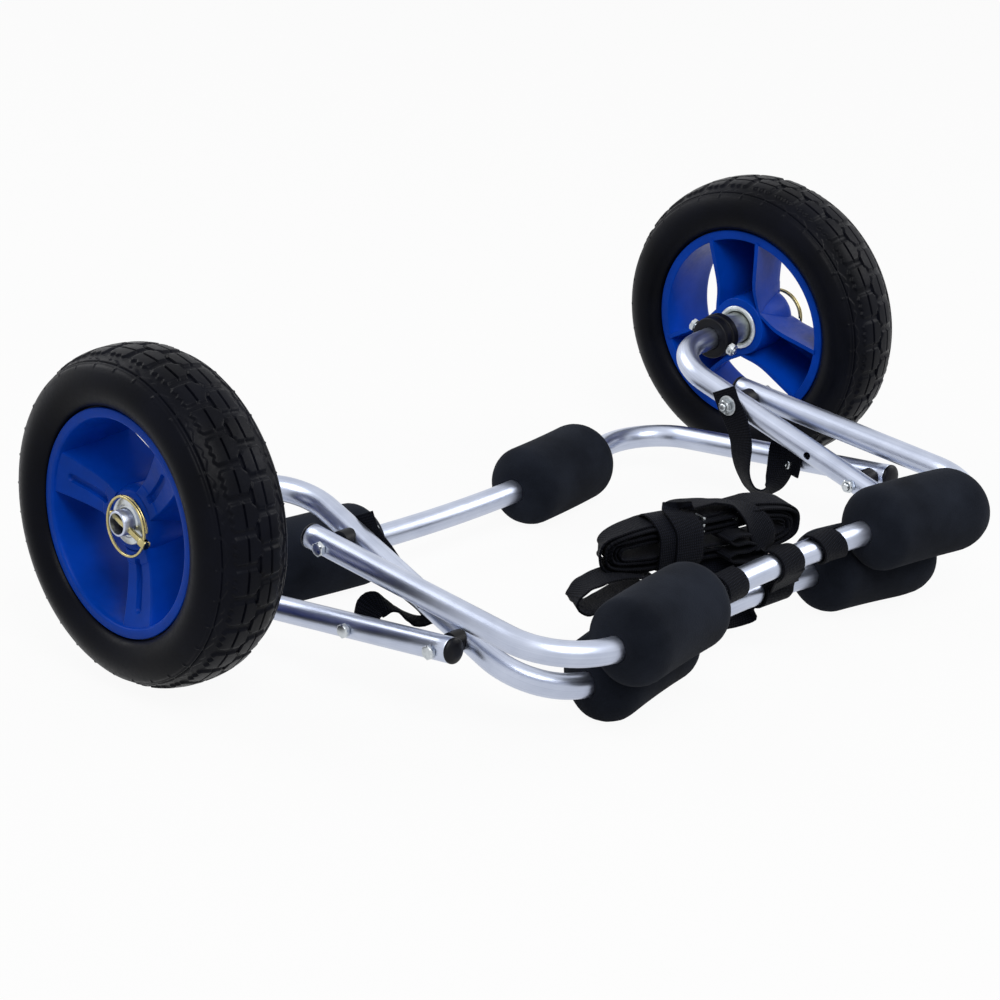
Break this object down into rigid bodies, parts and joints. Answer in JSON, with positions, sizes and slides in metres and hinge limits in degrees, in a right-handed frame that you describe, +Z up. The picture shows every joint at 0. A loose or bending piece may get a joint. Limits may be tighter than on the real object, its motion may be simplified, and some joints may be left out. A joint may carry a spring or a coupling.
{
  "type": "kayak trolley",
  "caption": "Folding kayak trolley: a hinged U frame of aluminium tube with foam pads, a swing-down rear stand, blue-rimmed wheels held by lock pins, and a stowed tie-down strap.",
  "frame": {"origin": "on the floor under the middle of the whole trolley as it lies folded", "axes": "+X along the wheels' axle line towards the right-hand wheel, -Y towards the two crossbars that lie together, +Z up"},
  "size_m": [0.8038, 0.4798, 0.254],
  "materials": {
    "tube": "satin, pale lilac-silver anodised",
    "foam": "matte closed-cell foam, charcoal",
    "black_plastic": "satin",
    "zinc_steel": "bright zinc plate",
    "gold_steel": "yellow zinc plate",
    "tyre": "satin tread, slightly glossy",
    "blue_plastic": "satin royal blue",
    "webbing": "woven nylon webbing"
  },
  "bodies": {
    "wheel_frame": {"wheel_frame_tube": "tube", "left_lower_pad": "foam", "left_upper_spacer": "black_plastic", "left_rear_spacer": "black_plastic", "left_upper_pivot_bolt": "zinc_steel", "left_upper_pivot_nut": "zinc_steel", "left_strap_washer": "zinc_steel", "left_rear_pivot_bolt": "zinc_steel", "left_rear_pivot_nut": "zinc_steel", "left_collar": "black_plastic", "left_collar_bolt": "zinc_steel", "left_collar_nut": "zinc_steel", "left_spacer_sleeve": "zinc_steel", "left_limit_strap": "webbing", "right_lower_pad": "foam", "right_upper_spacer": "black_plastic", "right_rear_spacer": "black_plastic", "right_upper_pivot_bolt": "zinc_steel", "right_upper_pivot_nut": "zinc_steel", "right_strap_washer": "zinc_steel", "right_rear_pivot_bolt": "zinc_steel", "right_rear_pivot_nut": "zinc_steel", "right_collar": "black_plastic", "right_collar_bolt": "zinc_steel", "right_collar_nut": "zinc_steel", "right_spacer_sleeve": "zinc_steel", "right_limit_strap": "webbing"},
    "upper_frame": {"upper_frame_tube": "tube", "left_upper_pad": "foam", "left_upper_plug": "black_plastic", "right_upper_pad": "foam", "right_upper_plug": "black_plastic", "strap_hank": "webbing", "strap_hank_band": "webbing", "strap_loose_loop": "webbing", "strap_left_wrap": "webbing", "strap_far_wrap": "webbing", "strap_right_wrap": "webbing", "buckle_body": "zinc_steel"},
    "rear_frame": {"rear_frame_tube": "tube", "left_rear_pad": "foam", "left_rear_plug": "black_plastic", "left_anchor_bolt": "zinc_steel", "left_anchor_nut": "zinc_steel", "right_rear_pad": "foam", "right_rear_plug": "black_plastic", "right_anchor_bolt": "zinc_steel", "right_anchor_nut": "zinc_steel"},
    "left_wheel": {"left_tyre": "tyre", "left_rim": "blue_plastic", "left_inner_bushing": "zinc_steel", "left_outer_bushing": "zinc_steel"},
    "left_pin": {"left_lock_pin": "gold_steel"},
    "left_ring": {"left_lock_ring": "gold_steel"},
    "right_wheel": {"right_tyre": "tyre", "right_rim": "blue_plastic", "right_inner_bushing": "zinc_steel", "right_outer_bushing": "zinc_steel"},
    "right_pin": {"right_lock_pin": "gold_steel"},
    "right_ring": {"right_lock_ring": "gold_steel"}
  },
  "joints": [
    {"name": "upper_frame_hinge", "type": "hinge", "parent": "wheel_frame", "child": "upper_frame", "pos_m": [0, 0.0316, 0.099], "axis": [-1, 0, 0], "range_deg": [0, 90], "deforming": ["strap_right_wrap"]},
    {"name": "rear_frame_hinge", "type": "hinge", "parent": "wheel_frame", "child": "rear_frame", "pos_m": [0, -0.09009, 0.0571], "axis": [-1, 0, 0], "range_deg": [0, 54], "deforming": ["left_limit_strap", "right_limit_strap"]},
    {"name": "left_wheel_spin", "type": "hinge", "parent": "wheel_frame", "child": "left_wheel", "pos_m": [-0.3565, 0.1132, 0.1271], "axis": [-0.9978, 0.0625, 0.0215], "continuous": true},
    {"name": "left_pin_slide", "type": "slide", "parent": "wheel_frame", "child": "left_pin", "axis": [-0.0661, -0.9435, -0.3249], "range_m": [0, 0.024]},
    {"name": "left_ring_hinge", "type": "hinge", "parent": "left_pin", "child": "left_ring", "pos_m": [-0.38323, 0.08929, 0.11887], "axis": [0, -0.3256, 0.9455], "range_deg": [0, 150]},
    {"name": "right_wheel_spin", "type": "hinge", "parent": "wheel_frame", "child": "right_wheel", "pos_m": [0.3565, 0.1132, 0.1271], "axis": [0.9978, 0.0625, 0.0215], "continuous": true},
    {"name": "right_pin_slide", "type": "slide", "parent": "wheel_frame", "child": "right_pin", "axis": [0.0661, -0.9435, -0.3249], "range_m": [0, 0.024]},
    {"name": "right_ring_hinge", "type": "hinge", "parent": "right_pin", "child": "right_ring", "pos_m": [0.38323, 0.08929, 0.11887], "axis": [0, 0.3256, -0.9455], "range_deg": [0, 150]}
  ],
  "couplings": [
    {"joint": "left_ring_hinge", "follows": "left_pin_slide", "rad_per_m": 109.08},
    {"joint": "right_ring_hinge", "follows": "right_pin_slide", "rad_per_m": 109.08}
  ]
}
